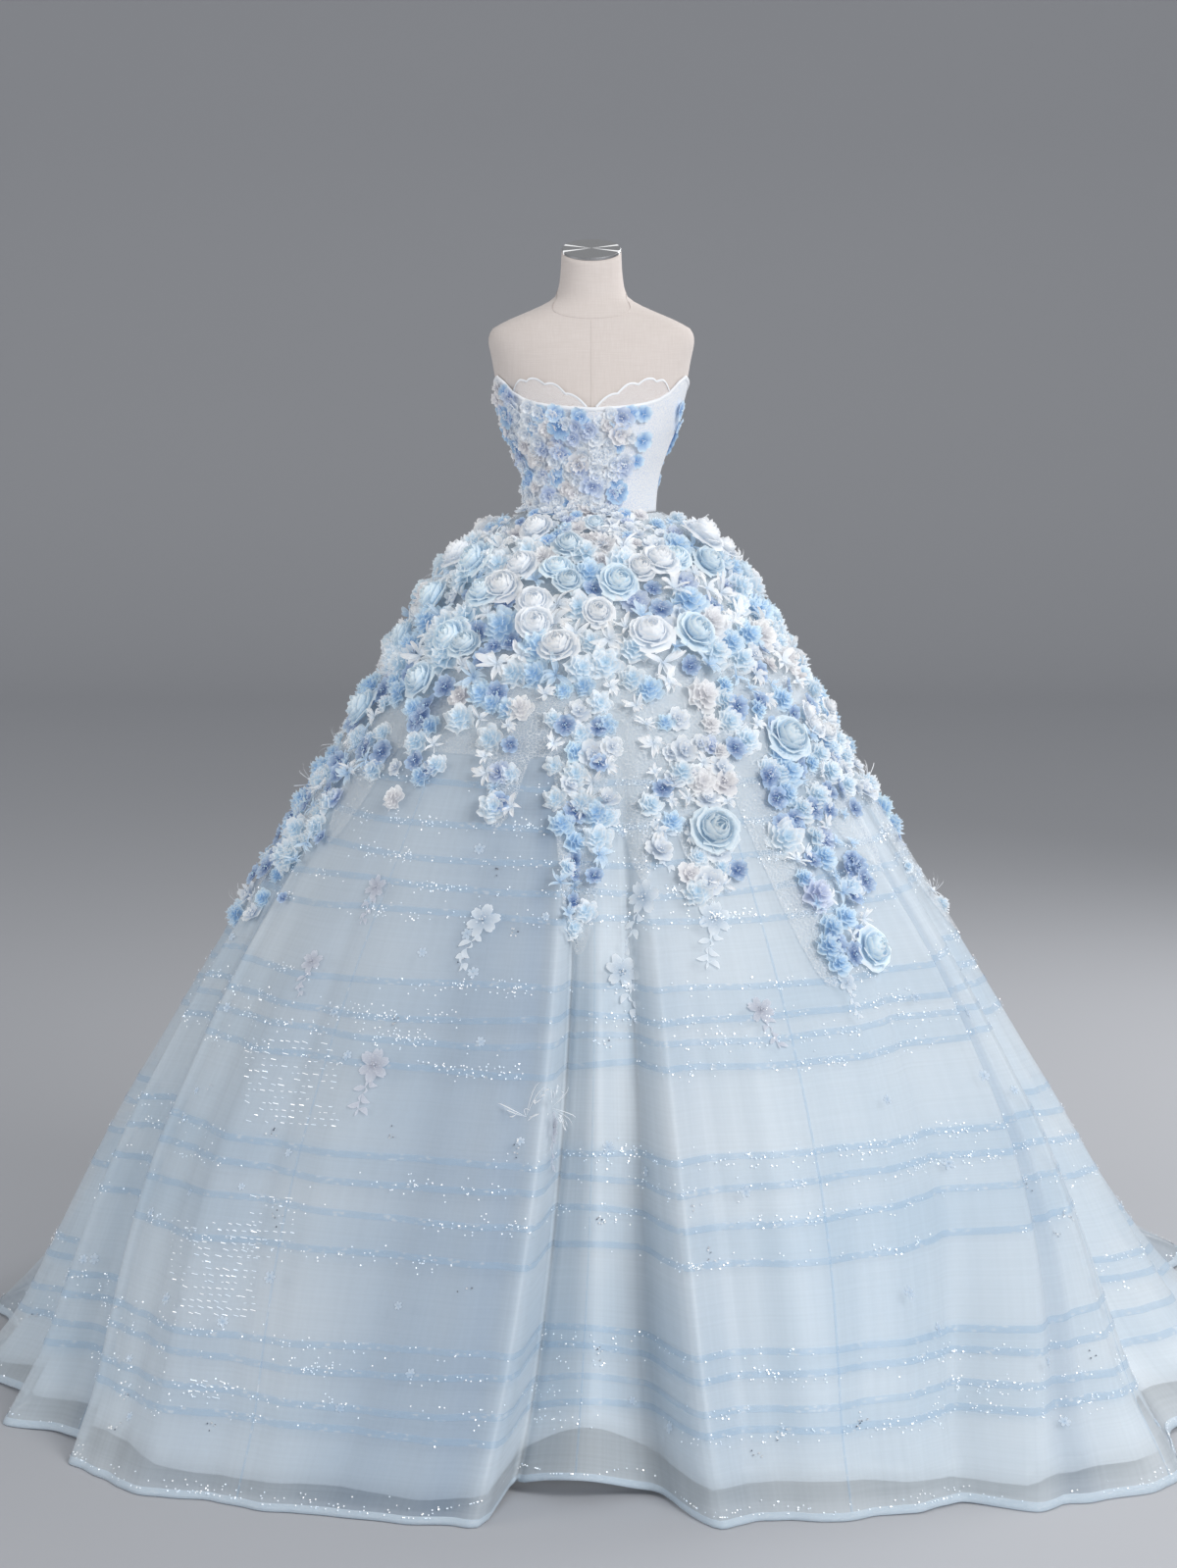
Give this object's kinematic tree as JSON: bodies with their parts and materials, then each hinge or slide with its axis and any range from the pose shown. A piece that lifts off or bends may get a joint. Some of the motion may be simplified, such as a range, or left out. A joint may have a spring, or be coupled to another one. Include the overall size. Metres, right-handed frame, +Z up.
{
  "type": "ball gown on dress form",
  "caption": "Strapless ball gown with sheer folded overskirt, opaque lining, train and raised organza blossoms, worn by a limbless dress form on a pole and round base.",
  "frame": {"origin": "centre of the round base's underside, on the floor under the form's pole", "axes": "+Z up along the pole, -Y out of the gown's front, +X to the right of someone who faces the gown"},
  "size_m": [2.3341, 2.6667, 1.9937],
  "materials": {
    "base_enamel": "white enamelled steel",
    "steel": "brushed",
    "form_linen": "fine ivory linen cover",
    "bodice_net": "beaded net over white satin",
    "nude_lace": "beaded scalloped lace",
    "white_piping": "satin binding",
    "satin_lining": "pale blue satin",
    "organza": "sheer ice blue organza",
    "hem_ribbon": "light blue bound edge and ribbon bands",
    "blossoms": "cut and gathered organza flowers"
  },
  "bodies": {
    "root": {"form_base": "base_enamel", "form_pole": "steel", "form_torso": "form_linen", "form_neck_cap": "steel", "bodice_front": "bodice_net", "bodice_back_left": "bodice_net", "bodice_back_right": "bodice_net", "lace_cup_left": "nude_lace", "lace_cup_right": "nude_lace", "neck_binding_front": "white_piping", "neck_binding_back": "white_piping", "skirt_lining_1": "satin_lining", "skirt_lining_2": "satin_lining", "skirt_lining_3": "satin_lining", "skirt_lining_4": "satin_lining", "skirt_lining_5": "satin_lining", "skirt_lining_6": "satin_lining", "skirt_lining_7": "satin_lining", "skirt_lining_8": "satin_lining", "skirt_lining_9": "satin_lining", "skirt_lining_10": "satin_lining", "skirt_lining_11": "satin_lining", "overskirt_1": "organza", "overskirt_2": "organza", "overskirt_3": "organza", "overskirt_4": "organza", "overskirt_5": "organza", "overskirt_6": "organza", "overskirt_7": "organza", "overskirt_8": "organza", "overskirt_9": "organza", "overskirt_10": "organza", "overskirt_11": "organza", "hem_binding_1": "hem_ribbon", "hem_binding_2": "hem_ribbon", "hem_binding_3": "hem_ribbon", "hem_binding_4": "hem_ribbon", "hem_binding_5": "hem_ribbon", "hem_binding_6": "hem_ribbon", "hem_binding_7": "hem_ribbon", "hem_binding_8": "hem_ribbon", "hem_binding_9": "hem_ribbon", "hem_binding_10": "hem_ribbon", "hem_binding_11": "hem_ribbon", "blossom_mantle_left": "blossoms", "blossom_mantle_front": "blossoms", "blossom_mantle_right": "blossoms", "blossom_mantle_back": "blossoms"}
  },
  "joints": []
}
